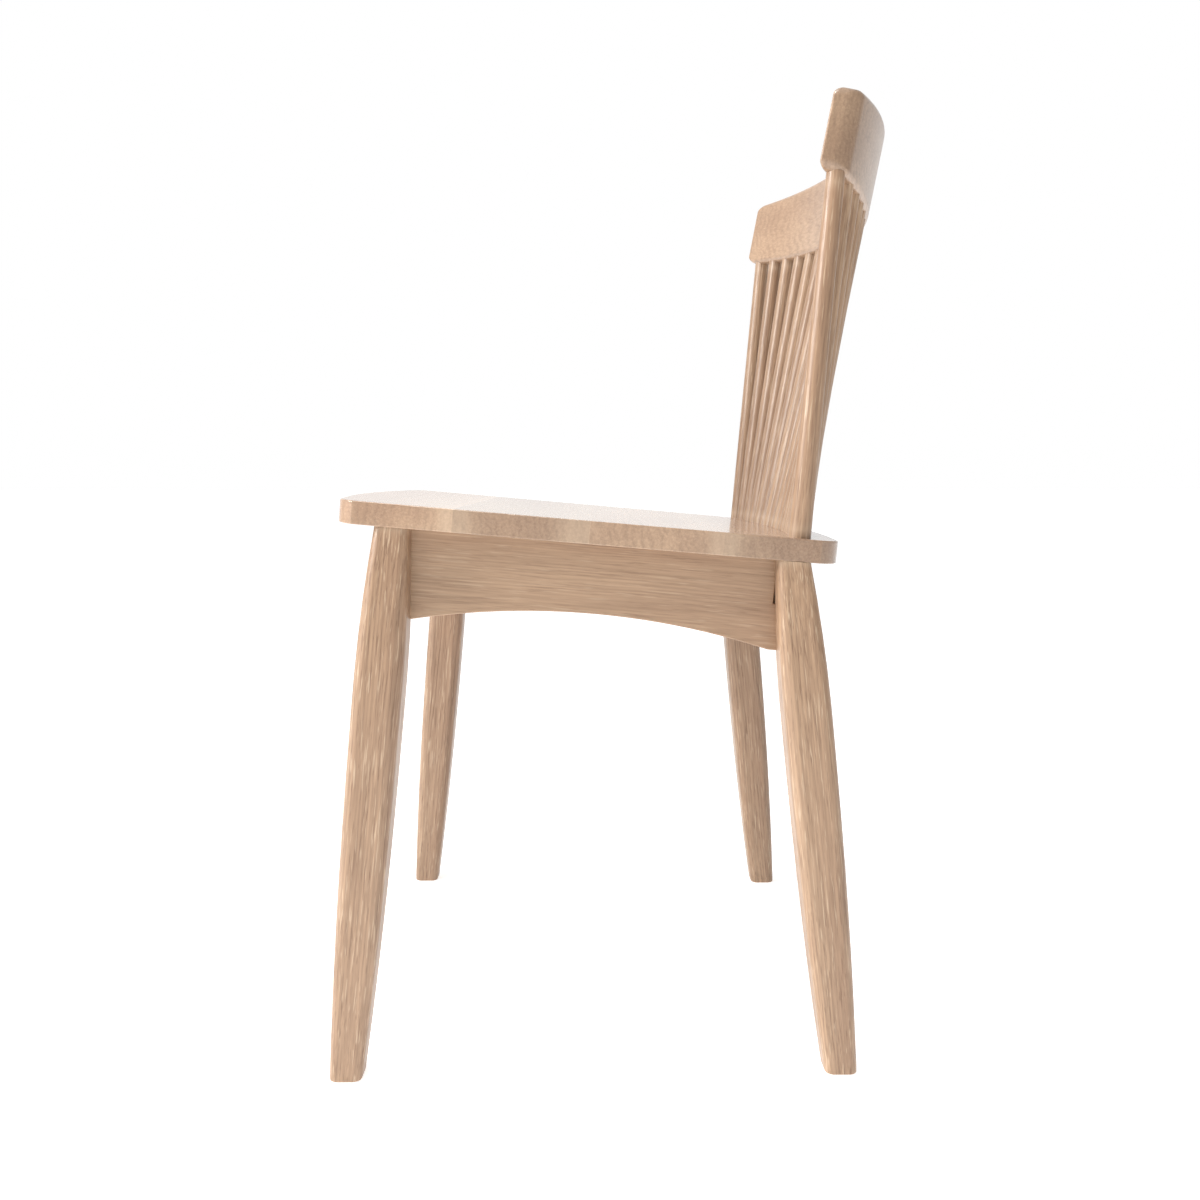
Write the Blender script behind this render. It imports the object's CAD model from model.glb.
"""Looks of the dining chair: smooth oak pieces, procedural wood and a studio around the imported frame."""

import math

import bmesh
import bpy
import numpy as np
from mathutils import Matrix, Vector


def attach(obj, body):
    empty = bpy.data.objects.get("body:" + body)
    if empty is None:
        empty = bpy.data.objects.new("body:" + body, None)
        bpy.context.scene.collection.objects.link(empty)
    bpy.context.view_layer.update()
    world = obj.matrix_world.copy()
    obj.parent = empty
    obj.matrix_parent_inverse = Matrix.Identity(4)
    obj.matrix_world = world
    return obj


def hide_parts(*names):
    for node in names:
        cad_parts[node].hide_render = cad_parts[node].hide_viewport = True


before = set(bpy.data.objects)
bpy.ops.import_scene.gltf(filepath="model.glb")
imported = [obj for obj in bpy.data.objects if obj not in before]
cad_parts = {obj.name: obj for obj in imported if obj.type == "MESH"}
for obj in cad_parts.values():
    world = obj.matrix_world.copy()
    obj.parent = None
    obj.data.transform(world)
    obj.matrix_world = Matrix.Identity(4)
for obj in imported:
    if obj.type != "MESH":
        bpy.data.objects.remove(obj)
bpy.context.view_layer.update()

MM = 0.001
UP = Vector((0, 0, 1))
X_AXIS = Vector((1, 0, 0))

SEAT_TILT = math.radians(5)  # the seat falls towards the back by this angle
RAIL_LEAN = math.radians(10.5)  # the crest rail leans back by this angle

FLAT_WITHIN = 0.05 * MM  # a flat face's points lie this close to its plane
STRAIGHT = 0.9995  # two edges are one line above this cosine of the turn between them
CREASE = 38  # degrees, above which an edge is shaded sharp

SEAT_EDGE_R = 1.1 * MM  # rounding of the seat's outer edges
SEAT_CREASE = 22  # degrees, for the flatter corners of the boards
JOINT_MIN = 0.3  # shortest glued joint between two boards
APRON_EDGE_R = 1.1 * MM
PLATE_EDGE_STEPS = 5

LEG_RINGS = 72
LEG_CORNER_STEPS = 10
LEG_CORNER = 0.25  # corner radius as a share of the leg's width
LEG_LOW_Z, LEG_HIGH_Z = 0.02, 0.30  # two heights that give the line of a leg
SECTION_FROM_FLOOR = 0.2 * MM  # a leg is measured no nearer to its ends than this
SECTION_FROM_TOP = 0.5 * MM
FOOT_R = 1.6 * MM  # rounding of the foot's lower edge
FOOT_W = 26 * MM  # width by which the foot's rounding is scaled
FOOT_STEPS = 4

RAIL_EDGE_R = 5.5 * MM  # rounding of the rail's long edges
RAIL_CORNER_R = 9 * MM  # rounding of the rail's ends, seen from the front
RAIL_FRONT_END_R = 3 * MM  # rounding of the upright edge between the front face and an end
RAIL_BACK_END_R = 10 * MM  # the same at the back face
RAIL_STATIONS = 96
RAIL_EDGE_STEPS = 8
RAIL_MIDDLE = 12 * MM  # the rail's sag is measured this close to its middle
CROWN_AT, CROWN_WITHIN = 0.85, 0.04  # where its crown is measured, as shares of its half length


# ---- reading the frame -------------------------------------------------------


def welded(node):
    """A CAD node's points, each once, and its triangles."""
    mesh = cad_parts[node].data
    points = np.empty(len(mesh.vertices) * 3, np.float32)
    mesh.vertices.foreach_get("co", points)
    mesh.calc_loop_triangles()
    triangles = np.empty(len(mesh.loop_triangles) * 3, np.int32)
    mesh.loop_triangles.foreach_get("vertices", triangles)
    points, index = np.unique(points.reshape(-1, 3).round(6), axis=0, return_inverse=True)
    return points.astype(float), index.ravel()[triangles].reshape(-1, 3)


def flat_face(node, hint):
    """(normal, outline) of a CAD node's largest flat face that looks towards hint.

    The outline turns left about the normal."""
    points, triangles = welded(node)
    a, b, c = (points[triangles[:, i]] for i in range(3))
    cross = np.cross(b - a, c - a)
    area = np.linalg.norm(cross, axis=1)
    normals = cross / np.maximum(area, 1e-12)[:, None]
    seed = np.argmax(np.where(normals @ np.array(hint) > 0.5, area, 0))
    height = points @ normals[seed]
    apart = abs(height[triangles] - height[triangles[seed, 0]]).max(1)
    largest = apart < FLAT_WITHIN
    normal = Vector((normals[largest] * area[largest, None]).sum(0)).normalized()
    ways = {}
    for t in triangles[largest]:
        for start, end in ((t[0], t[1]), (t[1], t[2]), (t[2], t[0])):
            if ways.get(end) and start in ways[end]:
                ways[end].remove(start)
            else:
                ways.setdefault(start, []).append(end)
    loops = []
    while any(ways.values()):
        start = next(k for k, v in ways.items() if v)
        loop, at = [], start
        while ways.get(at):
            loop.append(at)
            at = ways[at].pop()
        loops.append([Vector(points[i]) for i in loop])
    return normal, max(loops, key=lambda l: sum((p - q).length for p, q in zip(l, l[1:])))


def section_box(node, z):
    """Lowest and highest x and y of a CAD node's cut at height z."""
    points, triangles = welded(node)
    edges = np.vstack([triangles[:, [0, 1]], triangles[:, [1, 2]], triangles[:, [2, 0]]])
    a, b = points[edges[:, 0]], points[edges[:, 1]]
    crossing = (a[:, 2] - z) * (b[:, 2] - z) < 0
    a, b = a[crossing], b[crossing]
    share = ((z - a[:, 2]) / (b[:, 2] - a[:, 2]))[:, None]
    cut = (a + (b - a) * share)[:, :2]
    return cut.min(0), cut.max(0)


def long_way(node):
    """Direction of the longest way through a CAD node."""
    points = welded(node)[0]
    return Vector(np.linalg.svd(points - points.mean(0), full_matrices=False)[2][0])


# ---- mesh building -----------------------------------------------------------


def piece(name, verts, faces, slot, *nodes, crease=CREASE):
    """A smooth mesh that rides on the chair's body and stands for these CAD nodes.

    Edges that turn by more than crease degrees stay sharp."""
    mesh = bpy.data.meshes.new(name)
    mesh.from_pydata([tuple(v) for v in verts], [], faces)
    mesh.validate()
    mesh.shade_smooth()
    mesh.set_sharp_from_angle(angle=math.radians(crease))
    made = bpy.data.objects.new(name, mesh)
    bpy.context.scene.collection.objects.link(made)
    weighted = made.modifiers.new("even_shading", "WEIGHTED_NORMAL")
    weighted.keep_sharp = True
    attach(made, "root")
    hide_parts(*nodes)
    return made


def loft(rings):
    """(points, faces) of a closed body through rings of as many points each."""
    count = len(rings[0])
    verts = [p for ring in rings for p in ring]
    faces = [
        (k * count + i, k * count + (i + 1) % count, (k + 1) * count + (i + 1) % count, (k + 1) * count + i)
        for k in range(len(rings) - 1)
        for i in range(count)
    ]
    last = (len(rings) - 1) * count
    faces.append(tuple(range(count - 1, -1, -1)))
    faces.append(tuple(range(last, last + count)))
    return verts, faces


def inset(outline, normal, distances):
    """The outline with each edge moved inwards by its own distance."""
    made = []
    count = len(outline)
    for i, point in enumerate(outline):
        before = (point - outline[i - 1]).normalized().cross(normal)
        after = (outline[(i + 1) % count] - point).normalized().cross(normal)
        d0, d1 = distances[i - 1], distances[i]
        c = before.dot(after)
        if abs(c) > STRAIGHT:
            made.append(point - after * max(d0, d1))
        else:
            made.append(point - (before * (d0 - c * d1) + after * (d1 - c * d0)) / (1 - c * c))
    return made


def rounded_plate(outline, normal, thickness, radius, square=lambda a, b: False):
    """(points, faces) of a plate under an outline, its edges rounded unless square(start, end) is true."""
    count = len(outline)
    share = [0.0 if square(outline[i], outline[(i + 1) % count]) else 1.0 for i in range(count)]
    levels = [
        (radius * (1 - math.sin(a)), radius * (1 - math.cos(a)))
        for a in (math.pi / 2 * j / PLATE_EDGE_STEPS for j in range(PLATE_EDGE_STEPS + 1))
    ]
    rings = []
    for inwards, down in levels:
        rings.append([p - normal * down for p in inset(outline, normal, [inwards * s for s in share])])
    for ring, (_, down) in list(zip(rings, levels))[::-1]:
        rings.append([p - normal * (thickness - 2 * down) for p in ring])
    return loft(rings[::-1])


def trimmed(verts, faces, cuts):
    """The body with what lies past each plane (point, normal) cut off and closed."""
    body = bmesh.new()
    made = [body.verts.new(v) for v in verts]
    for f in faces:
        body.faces.new([made[i] for i in f])
    for point, normal in cuts:
        everything = body.verts[:] + body.edges[:] + body.faces[:]
        cut = bmesh.ops.bisect_plane(body, geom=everything, plane_co=point, plane_no=normal, clear_outer=True)
        rim = [e for e in cut["geom_cut"] if isinstance(e, bmesh.types.BMEdge)]
        bmesh.ops.edgeloop_fill(body, edges=rim)
    bmesh.ops.recalc_face_normals(body, faces=body.faces[:])
    body.verts.index_update()
    result = [v.co.copy() for v in body.verts], [[v.index for v in f.verts] for f in body.faces]
    body.free()
    return result


# ---- pieces ------------------------------------------------------------------

seat_y = Vector((0, math.cos(SEAT_TILT), -math.sin(SEAT_TILT)))  # towards the back, along the tilted seat
seat_up, top_outline = flat_face("seat_board_2", UP)
bottom_outline = flat_face("seat_board_2", -UP)[1]
seat_top = top_outline[0].dot(seat_up)
seat_bottom = bottom_outline[0].dot(seat_up)


def under_seat(y):
    """Height of the seat's underside."""
    return (seat_bottom - y * seat_up.y) / seat_up.z


def make_seat():
    """Four glued boards. Their outer edges are rounded and their joints are square."""

    def joint(a, b):
        along_x = abs((b - a).normalized().x) > 0.9999
        return along_x and (b - a).length > JOINT_MIN

    made = []
    for i in range(1, 5):
        node = f"seat_board_{i}"
        normal, outline = flat_face(node, UP)
        verts, faces = rounded_plate(outline, normal, seat_top - seat_bottom, SEAT_EDGE_R, joint)
        made.append(piece(f"board_{i}", verts, faces, "seat_wood", node, crease=SEAT_CREASE))
    return made


def leg_section(width):
    """A square of this width with rounded corners, turning left."""
    radius = width * LEG_CORNER
    flat = width / 2 - radius
    made = []
    for quarter, (sx, sy) in enumerate(((1, 1), (-1, 1), (-1, -1), (1, -1))):
        for i in range(LEG_CORNER_STEPS + 1):
            a = (quarter + i / LEG_CORNER_STEPS) * math.pi / 2
            made.append((sx * flat + radius * math.cos(a), sy * flat + radius * math.sin(a)))
    return made


def leg_line(node):
    """(centre of the foot, centre of the top) of a leg."""
    low, high = (sum(section_box(node, z)) / 2 for z in (LEG_LOW_Z, LEG_HIGH_Z))
    slope = (high - low) / (LEG_HIGH_Z - LEG_LOW_Z)
    foot = low - slope * LEG_LOW_Z
    top_z = (seat_bottom - foot[1] * seat_up.y) / (seat_up.z + slope[1] * seat_up.y)
    return Vector((*foot, 0)), Vector((*(foot + slope * top_z), top_z))


def make_leg(node):
    """A tapered leg that meets the tilted seat, with a small rounding under its foot."""
    foot, top = leg_line(node)
    side = math.copysign(1, foot.x)
    rings = []
    for k in range(LEG_RINGS + 1):
        share = k / LEG_RINGS
        centre = foot.lerp(top, share)
        low, high = section_box(node, min(max(centre.z, SECTION_FROM_FLOOR), top.z - SECTION_FROM_TOP))
        width = 2 * ((high[0] if side > 0 else -low[0]) - abs(centre.x))
        ring = [(centre.x + x, centre.y + y) for x, y in leg_section(width)]
        rings.append([Vector((x, y, share * under_seat(y))) for x, y in ring])
    foot_rings = []
    for j in range(FOOT_STEPS):
        a = math.pi / 2 * j / FOOT_STEPS
        shrink = 1 - 2 * FOOT_R * (1 - math.sin(a)) / FOOT_W
        lift = FOOT_R * (1 - math.cos(a))
        foot_rings.append([foot + (p - foot) * shrink + UP * lift for p in rings[0]])
    lifted = [p + (top - foot).normalized() * FOOT_R for p in rings[0]]
    return piece(node.replace("leg", "post"), *loft([*foot_rings, lifted, *rings[1:]]), "leg_wood", node)


def make_apron(node, outwards, corners):
    """An arched board, mitred behind the legs at its two corners."""
    normal, outline = flat_face(node, outwards)
    inner_normal, inner_outline = flat_face(node, -outwards)
    thickness = outline[0].dot(normal) + inner_outline[0].dot(inner_normal)
    verts, faces = rounded_plate(outline, normal, thickness, APRON_EDGE_R)
    middle = sum(outline, Vector()) / len(outline)
    cuts = []
    for corner in corners:
        diagonal = Vector((-math.copysign(1, corner.x), -math.copysign(1, corner.y), 0)).normalized()
        across = diagonal.cross(seat_up).normalized()
        if (middle - corner).dot(across) > 0:
            across = -across
        cuts.append((corner, across))
    return piece(node.replace("apron", "rail"), *trimmed(verts, faces, cuts), "apron_wood", node)


def rounded_profile(x0, x1, z0, z1, radius):
    """Corner points of a rounded rectangle, as many for any size."""
    made = []
    corners = ((x1, z1, 0), (x0, z1, 1), (x0, z0, 2), (x1, z0, 3))
    for x, z, quarter in corners:
        cx = x - radius if x == x1 else x + radius
        cz = z - radius if z == z1 else z + radius
        for i in range(RAIL_EDGE_STEPS + 1):
            a = (quarter + i / RAIL_EDGE_STEPS) * math.pi / 2
            made.append((cx + radius * math.cos(a), cz + radius * math.sin(a)))
    return made


def round_off(distance, radius):
    """How far a rounded edge has drawn in at a distance from its end."""
    if distance >= radius:
        return 0.0
    return radius - math.sqrt(max(radius**2 - (radius - distance) ** 2, 0))


def make_crest():
    """The bent rail with its crowned top: upright cuts through a curved board, drawn in towards both ends."""
    lean = Matrix.Rotation(RAIL_LEAN, 3, "X")
    points = np.array([lean @ Vector(p) for p in welded("crest_rail")[0]])
    low, high = points.min(0), points.max(0)
    half = high[0]
    at_middle = points[np.abs(points[:, 0]) < RAIL_MIDDLE]
    sag = at_middle[:, 1].min() - low[1]
    thickness = high[1] - at_middle[:, 1].min()
    radius = (half**2 + sag**2) / (2 * sag)
    centre_y = at_middle[:, 1].min() - radius
    near_end = points[np.abs(np.abs(points[:, 0]) - CROWN_AT * half) < CROWN_WITHIN * half]
    x1, _, z1 = near_end[near_end[:, 2].argmax()]
    drop = high[2] - z1
    crown_radius = (x1**2 + drop**2) / (2 * drop)
    rings = []
    for k in range(RAIL_STATIONS + 1):
        x = -half * math.cos(math.pi * k / RAIL_STATIONS)
        end = half - abs(x)
        draw = round_off(end, RAIL_CORNER_R)
        front = radius + round_off(end, RAIL_FRONT_END_R)
        back = radius + thickness - round_off(end, RAIL_BACK_END_R)
        top = high[2] - crown_radius + math.sqrt(crown_radius**2 - x**2)
        edge_radius = min(RAIL_EDGE_R, (back - front) * 0.3)
        profile = rounded_profile(front, back, low[2] + draw, top - draw, edge_radius)
        ring = [Vector((x, centre_y + math.sqrt(r * r - x * x), z)) for r, z in profile]
        rings.append([lean.transposed() @ p for p in ring])
    return piece("crest", *loft(rings), "crest_wood", "crest_rail")


# ---- materials ---------------------------------------------------------------


class Nodes:
    """A short way to write a node tree."""

    def __init__(self, tree):
        self.tree = tree

    def add(self, kind, settings=None, **inputs):
        made = self.tree.nodes.new("ShaderNode" + kind)
        for key, value in (settings or {}).items():
            setattr(made, key, value)
        for key, value in inputs.items():
            self.put(made.inputs[key.replace("_", " ")], value)
        return made

    def put(self, socket, value):
        if isinstance(value, bpy.types.NodeSocket):
            self.tree.links.new(value, socket)
        else:
            socket.default_value = value

    def math(self, operation, *values, clamp=False):
        made = self.add("Math", {"operation": operation, "use_clamp": clamp})
        for socket, value in zip(made.inputs, values):
            self.put(socket, value)
        return made.outputs[0]

    def vector(self, operation, *values):
        made = self.add("VectorMath", {"operation": operation})
        for socket, value in zip(made.inputs, values):
            self.put(socket, value)
        return made.outputs["Value" if operation in ("LENGTH", "DOT_PRODUCT") else "Vector"]

    def noise(self, vector, across, along, detail=2.0, roughness=0.5):
        """Noise with this many waves a metre across the grain and along it."""
        scaled = self.vector("MULTIPLY", vector, (across, across, along))
        return self.add("TexNoise", Vector=scaled, Scale=1.0, Detail=detail, Roughness=roughness)

    def ramp(self, value, *stops):
        """A smooth curve through (place, height) stops."""
        made = self.add("ValToRGB", Fac=value)
        made.color_ramp.interpolation = "EASE"
        elements = made.color_ramp.elements
        while len(elements) < len(stops):
            elements.new(0.5)
        for element, (place, height) in zip(elements, stops):
            element.position = place
            element.color = (height, height, height, 1)
        return made.outputs["Color"]

    def mix(self, share, a, b, blend="MIX"):
        made = self.add("Mix", {"data_type": "RGBA", "blend_type": blend})
        for index, value in ((0, share), (6, a), (7, b)):
            self.put(made.inputs[index], value)
        return made.outputs[2]


def grain_group():
    """Grain of sawn oak as a solid pattern, with the trunk along Z.

    It gives rings about a pith, fibres, pores, flecks and clouds."""
    tree = bpy.data.node_groups.new("oak_grain", "ShaderNodeTree")
    for name, kind in (("Place", "Vector"), ("Pith", "Vector"), ("Rings", "Float")):
        tree.interface.new_socket(name, in_out="INPUT", socket_type="NodeSocket" + kind)
    for name in ("Ring", "Fibre", "Pore", "Fleck", "Cloud"):
        tree.interface.new_socket(name, in_out="OUTPUT", socket_type="NodeSocketFloat")
    n = Nodes(tree)
    given = tree.nodes.new("NodeGroupInput").outputs
    place = given["Place"]
    wander = n.noise(place, 9, 2.2, 2).outputs["Color"]
    wander = n.vector("SUBTRACT", wander, (0.5, 0.5, 0.5))
    wander = n.vector("MULTIPLY", wander, (0.024, 0.024, 0))
    moved = n.vector("ADD", n.vector("SUBTRACT", place, given["Pith"]), wander)
    radius = n.vector("LENGTH", n.vector("MULTIPLY", moved, (1, 1, 0)))
    uneven = n.noise(place, 90, 5, 3, 0.6).outputs[0]
    turns = n.math("ADD", n.math("MULTIPLY", radius, given["Rings"]), n.math("MULTIPLY", uneven, 2.6))
    phase = n.math("FRACT", turns)
    ring = n.ramp(phase, (0.0, 0.80), (0.14, 0.45), (0.42, 0.05), (0.74, 0.25), (1.0, 0.80))
    strength = n.ramp(n.noise(place, 70, 8, 2).outputs[0], (0.30, 0.25), (0.65, 1.0))
    ring = n.math("MULTIPLY", ring, strength)
    fibre = n.noise(place, 520, 14, 4, 0.65).outputs[0]
    fine = n.noise(place, 850, 38, 2, 0.6).outputs[0]
    porous = n.math("MULTIPLY_ADD", ring, 0.075, fine)
    pore = n.ramp(porous, (0.585, 0.0), (0.68, 1.0))
    light = n.noise(n.vector("ADD", place, (3.1, 1.7, 0.6)), 620, 30, 2, 0.6).outputs[0]
    fleck = n.ramp(light, (0.57, 0.0), (0.68, 1.0))
    cloud = n.noise(place, 16, 1.6, 3, 0.55).outputs[0]
    out = tree.nodes.new("NodeGroupOutput")
    for name, value in (("Ring", ring), ("Fibre", fibre), ("Pore", pore), ("Fleck", fleck), ("Cloud", cloud)):
        n.put(out.inputs[name], value)
    return tree


GRAIN = grain_group()
PALE = (0.510, 0.335, 0.210, 1)  # colours of the bare wood
MIDDLE = (0.385, 0.238, 0.145, 1)
DARK = (0.165, 0.088, 0.048, 1)
BRIGHT = (0.66, 0.50, 0.35, 1)  # flecks and worn edges

RING_SHARE = 0.46  # how far each detail takes the wood to its own colour
STREAK_SHARE = 0.40
PORE_SHARE = 0.45
FLECK_SHARE = 0.45
WEAR_SHARE = 0.35

THIN_COAT = (0.25, 0.30)  # weight and roughness of the lacquer
SEAT_COAT = (1.0, 0.16)
CREST_COAT = (1.0, 0.32)


def wood(name, part, along, pith, seed, tone=1.0, rings=300, contrast=1.0, coat=THIN_COAT, speckle=1.0):
    """Lacquered oak.

    along is the direction of the grain, and pith is where the heart of the tree lies across it, in metres
    from the middle of the part. rings is how many there are to a metre, and speckle is how much the pores
    and flecks show."""
    material = bpy.data.materials.new(name)
    material.use_nodes = True
    tree = material.node_tree
    tree.nodes.clear()
    n = Nodes(tree)
    turn = Vector(along).normalized().rotation_difference(UP).to_euler()
    offset = Vector((0.13 * seed % 1.7, 0.29 * seed % 2.3, 0.71 * seed % 3.1))
    middle = sum((Vector(c) for c in part.bound_box), Vector()) / 8
    shift = offset - turn.to_matrix() @ middle
    coordinates = n.add("TexCoord").outputs["Object"]
    place = n.add("Mapping", Vector=coordinates, Rotation=turn, Location=shift).outputs[0]
    heart = tuple(offset + Vector((*pith, 0)))
    grain = n.add("Group", {"node_tree": GRAIN}, Place=place, Pith=heart, Rings=float(rings)).outputs
    streak = n.ramp(grain["Fibre"], (0.30, 0.0), (0.70, 1.0))
    shade = n.mix(n.ramp(grain["Cloud"], (0.32, 0.0), (0.68, 1.0)), PALE, MIDDLE)
    shade = n.mix(n.math("MULTIPLY", grain["Ring"], RING_SHARE * contrast), shade, DARK)
    shade = n.mix(n.math("MULTIPLY", streak, STREAK_SHARE * contrast), shade, DARK)
    shade = n.mix(n.math("MULTIPLY", grain["Pore"], PORE_SHARE * contrast * speckle), shade, DARK)
    shade = n.mix(n.math("MULTIPLY", grain["Fleck"], FLECK_SHARE * contrast * speckle), shade, BRIGHT)
    edge = n.ramp(n.add("NewGeometry").outputs["Pointiness"], (0.515, 0.0), (0.58, 1.0))
    shade = n.mix(n.math("MULTIPLY", edge, WEAR_SHARE), shade, BRIGHT)
    shade = n.mix(1.0, shade, (tone, tone, tone, 1), "MULTIPLY")
    rough = n.math("MULTIPLY_ADD", streak, 0.10, 0.42)
    rough = n.math("MULTIPLY_ADD", grain["Pore"], 0.14, rough)
    groove = n.math("MULTIPLY", streak, -0.35 * speckle)
    height = n.math("MULTIPLY_ADD", grain["Pore"], -0.9 * speckle, groove)
    bump = n.add("Bump", Height=height, Strength=0.30, Distance=0.25 * MM).outputs[0]
    shader = n.add("BsdfPrincipled", Base_Color=shade, Roughness=rough, Normal=bump)
    shader.inputs["Coat Weight"].default_value = coat[0]
    shader.inputs["Coat Roughness"].default_value = coat[1]
    out = tree.nodes.new("ShaderNodeOutputMaterial")
    tree.links.new(shader.outputs[0], out.inputs["Surface"])
    return material


def plated_steel():
    """Zinc-plated steel, a little cloudy and brushed."""
    material = bpy.data.materials.new("screw_steel")
    material.use_nodes = True
    tree = material.node_tree
    tree.nodes.clear()
    n = Nodes(tree)
    coordinates = n.add("TexCoord").outputs["Object"]
    cloud = n.noise(coordinates, 260, 260, 3).outputs[0]
    scratch = n.noise(coordinates, 3200, 300, 2).outputs[0]
    shade = n.mix(cloud, (0.52, 0.53, 0.55, 1), (0.72, 0.71, 0.68, 1))
    rough = n.math("MULTIPLY_ADD", cloud, 0.25, 0.22)
    bump = n.add("Bump", Height=scratch, Strength=0.12, Distance=0.1 * MM).outputs[0]
    shader = n.add("BsdfPrincipled", Base_Color=shade, Roughness=rough, Normal=bump)
    shader.inputs["Metallic"].default_value = 1.0
    out = tree.nodes.new("ShaderNodeOutputMaterial")
    tree.links.new(shader.outputs[0], out.inputs["Surface"])
    return material


def paint(made, material):
    """Gives a piece or a CAD node this one material."""
    if not made.material_slots:
        made.data.materials.append(material)
    for slot in made.material_slots:
        slot.link = "OBJECT"
        slot.material = material


# ---- the chair ---------------------------------------------------------------

# Pieces of one kind have different seeds, so that no two of them show the same grain
BOARD_TONES = (1.12, 0.90, 1.00, 0.86)  # from the front board to the back one
for i, (board, tone) in enumerate(zip(make_seat(), BOARD_TONES)):
    pith = (0.02 - 0.03 * i, 0.16 + 0.05 * i)
    finish = {"tone": tone, "rings": 150, "contrast": 0.9, "coat": SEAT_COAT, "speckle": 0.35}
    paint(board, wood(f"seat_oak_{i + 1}", board, X_AXIS, pith, seed=3 + 5 * i, **finish))

LEGS = ("leg_front_left", "leg_front_right", "leg_back_left", "leg_back_right")
LEG_TONE, FAR_LEG_TONE = 1.0, 0.86
for i, node in enumerate(LEGS):
    foot, top = leg_line(node)
    made = make_leg(node)
    pith = (0.05, 0.09 - 0.02 * i)
    tone = FAR_LEG_TONE if node.endswith("left") else LEG_TONE
    paint(made, wood(f"{node}_oak", made, top - foot, pith, seed=11 + 7 * i, tone=tone, contrast=1.1))

corners = {node: leg_line(node)[1] for node in LEGS}
APRONS = {
    "apron_right": (X_AXIS, ("leg_front_right", "leg_back_right")),
    "apron_left": (-X_AXIS, ("leg_front_left", "leg_back_left")),
    "apron_front": (-seat_y, ("leg_front_left", "leg_front_right")),
    "apron_back": (seat_y, ("leg_back_left", "leg_back_right")),
}
for i, (node, (outwards, ends)) in enumerate(APRONS.items()):
    start, end = (corners[e] for e in ends)
    made = make_apron(node, outwards, (start, end))
    finish = {"tone": 0.98, "rings": 420, "contrast": 0.75, "speckle": 0.7}
    paint(made, wood(f"{node}_oak", made, end - start, (0.05, 0.04), seed=5 + 9 * i, **finish))

crest = make_crest()
finish = {"tone": 0.88, "rings": 240, "contrast": 0.9, "coat": CREST_COAT, "speckle": 0.25}
paint(crest, wood("crest_oak", crest, X_AXIS, (0.01, 0.15), seed=17, **finish))

SPINDLES = 17
SPINDLE_PITH = 0.07  # distance of the heart from each spindle's middle
for i in range(1, SPINDLES + 1):
    node = f"spindle_{i:02d}"
    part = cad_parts[node]
    spin = 2.4 * i
    pith = (SPINDLE_PITH * math.cos(spin), SPINDLE_PITH * math.sin(spin))
    tone = 0.80 + 0.012 * i
    paint(part, wood(f"{node}_oak", part, long_way(node), pith, seed=2 + 3 * i, tone=tone, rings=420))

for i, node in enumerate(("block_front_left", "block_front_right", "block_back_left", "block_back_right")):
    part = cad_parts[node]
    along = Vector((1, -1 if node.endswith("left") == ("front" in node) else 1, 0))  # across the corner
    paint(part, wood(f"{node}_oak", part, along, (0.06, 0.04), seed=41 + 3 * i, tone=1.02))

steel = plated_steel()
for node in ("seat_screws", "block_screws"):
    paint(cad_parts[node], steel)


# ---- studio ------------------------------------------------------------------

CAMERA_AT = (1.1305, -0.0255, 0.5007)
CAMERA_PITCH = 0.1126  # radians below the horizon
CAMERA_YAW = 0.0069  # radians off the -X direction
CAMERA_LENS = 34.0  # mm
CAMERA_SENSOR = 36.0

FLOOR_GLOW = 0.66  # so that the floor runs into the white backdrop
BACKDROP = ((0.45, 0.0), (0.75, 1.0))  # brightness of the backdrop by the cosine of the angle from its middle
SOFT_SIDE = (0.0, -0.80, 0.60)  # the rest of the studio is brightest this way
SOFT_SLOPE = 0.14
SOFT_LEVEL = 0.36
FLOOR_REACH = 30.0  # of the floor each way from the chair

LIT_POINT = (0, 0, 0.4)  # both lights look at the middle of the chair
LIGHTS = {  # place, side of the square, power in watts
    "key": ((0.75, -2.5, 1.5), 0.8, 74),
    "top": ((0.6, -0.3, 2.8), 1.0, 44),
}


def area_light(name, at, side, power):
    """A square light that looks at the chair."""
    data = bpy.data.lights.new(name, "AREA")
    data.shape = "RECTANGLE"
    data.size, data.size_y = side, side
    data.energy = power
    light = bpy.data.objects.new(name, data)
    light.location = at
    light.rotation_euler = (Vector(LIT_POINT) - Vector(at)).to_track_quat("-Z", "Y").to_euler()
    bpy.context.scene.collection.objects.link(light)


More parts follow.
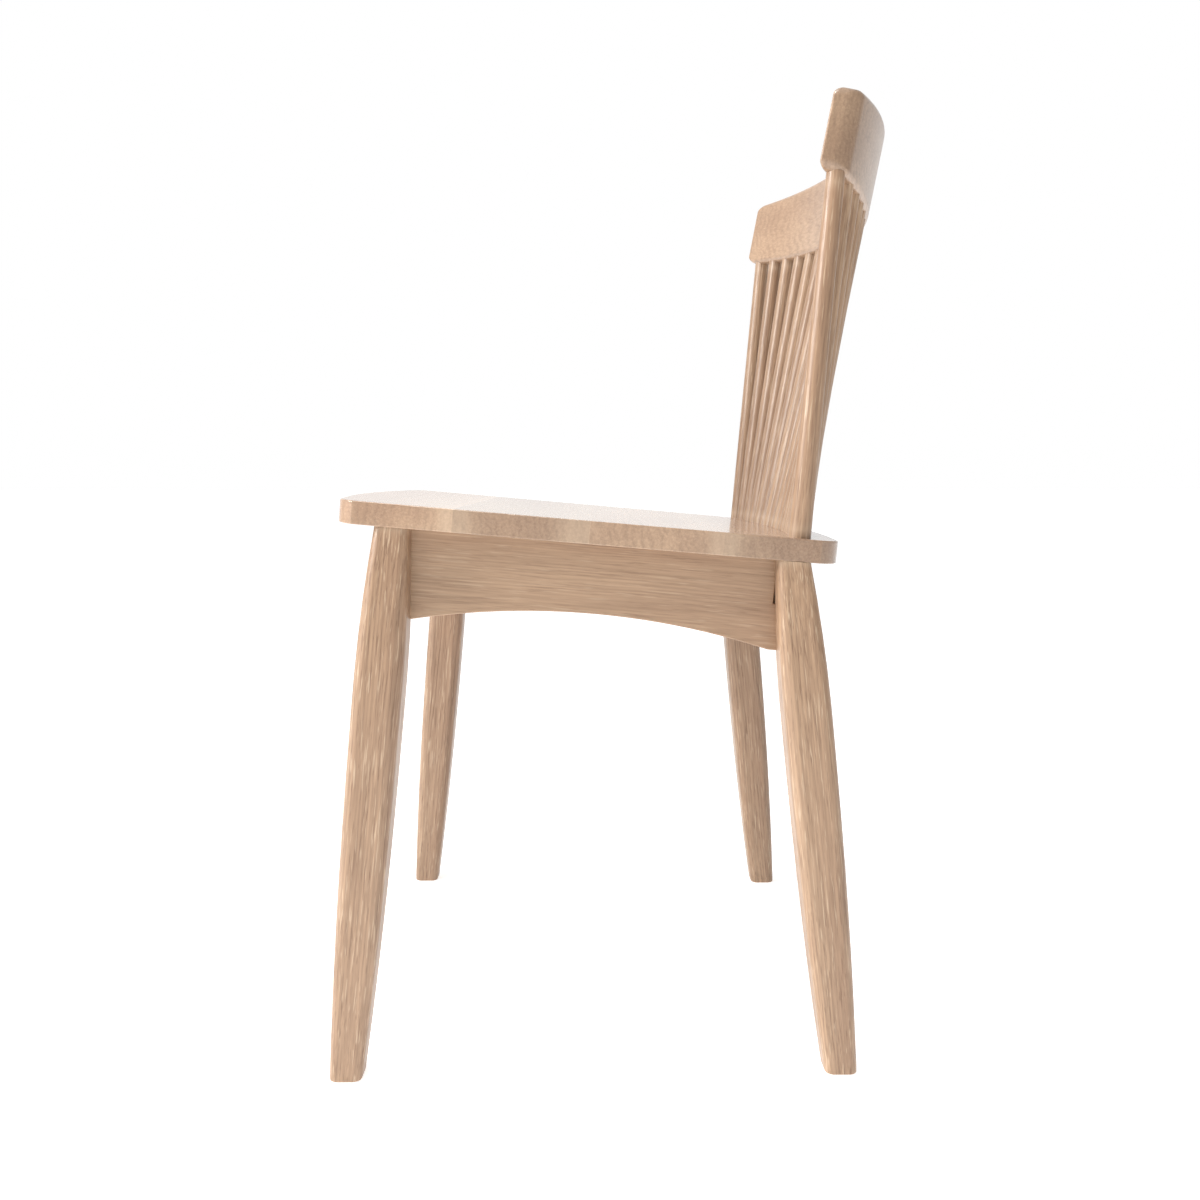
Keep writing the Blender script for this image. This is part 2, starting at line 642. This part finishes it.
def make_camera():
    """The camera looks at the chair's right side, from a little above the seat."""
    camera = bpy.data.objects.new("camera", bpy.data.cameras.new("camera"))
    camera.data.lens = CAMERA_LENS
    camera.data.sensor_width = CAMERA_SENSOR
    camera.location = CAMERA_AT
    camera.rotation_euler = (math.pi / 2 - CAMERA_PITCH, 0, math.pi / 2 - CAMERA_YAW)
    bpy.context.scene.collection.objects.link(camera)
    bpy.context.scene.camera = camera


def make_floor():
    """A pale floor that glows a little."""
    floor_mesh = bpy.data.meshes.new("floor")
    r = FLOOR_REACH
    floor_mesh.from_pydata([(-r, -r, 0), (r, -r, 0), (r, r, 0), (-r, r, 0)], [], [(0, 1, 2, 3)])
    floor = bpy.data.objects.new("floor", floor_mesh)
    bpy.context.scene.collection.objects.link(floor)
    pale = bpy.data.materials.new("pale_floor")
    pale.use_nodes = True
    shader = pale.node_tree.nodes["Principled BSDF"]
    shader.inputs["Base Color"].default_value = (0.88, 0.88, 0.88, 1)
    shader.inputs["Roughness"].default_value = 0.9
    shader.inputs["Emission Color"].default_value = (1, 1, 1, 1)
    shader.inputs["Emission Strength"].default_value = FLOOR_GLOW
    floor_mesh.materials.append(pale)


def make_world():
    """A white backdrop opposite the camera, and softer light from the rest of the studio."""
    world = bpy.data.worlds.new("studio")
    world.use_nodes = True
    n = Nodes(world.node_tree)
    way = n.add("TexCoord").outputs["Generated"]
    backdrop = n.ramp(n.vector("DOT_PRODUCT", way, (-1, 0, 0)), *BACKDROP)
    beside = n.math("MULTIPLY_ADD", n.vector("DOT_PRODUCT", way, SOFT_SIDE), SOFT_SLOPE, SOFT_LEVEL)
    n.put(world.node_tree.nodes["Background"].inputs["Color"], (1, 1, 1, 1))
    n.put(world.node_tree.nodes["Background"].inputs["Strength"], n.math("MAXIMUM", backdrop, beside))
    bpy.context.scene.world = world


make_camera()
make_floor()
make_world()
for name, (at, side, power) in LIGHTS.items():
    area_light(name, at, side, power)
bpy.context.scene.view_settings.view_transform = "Standard"
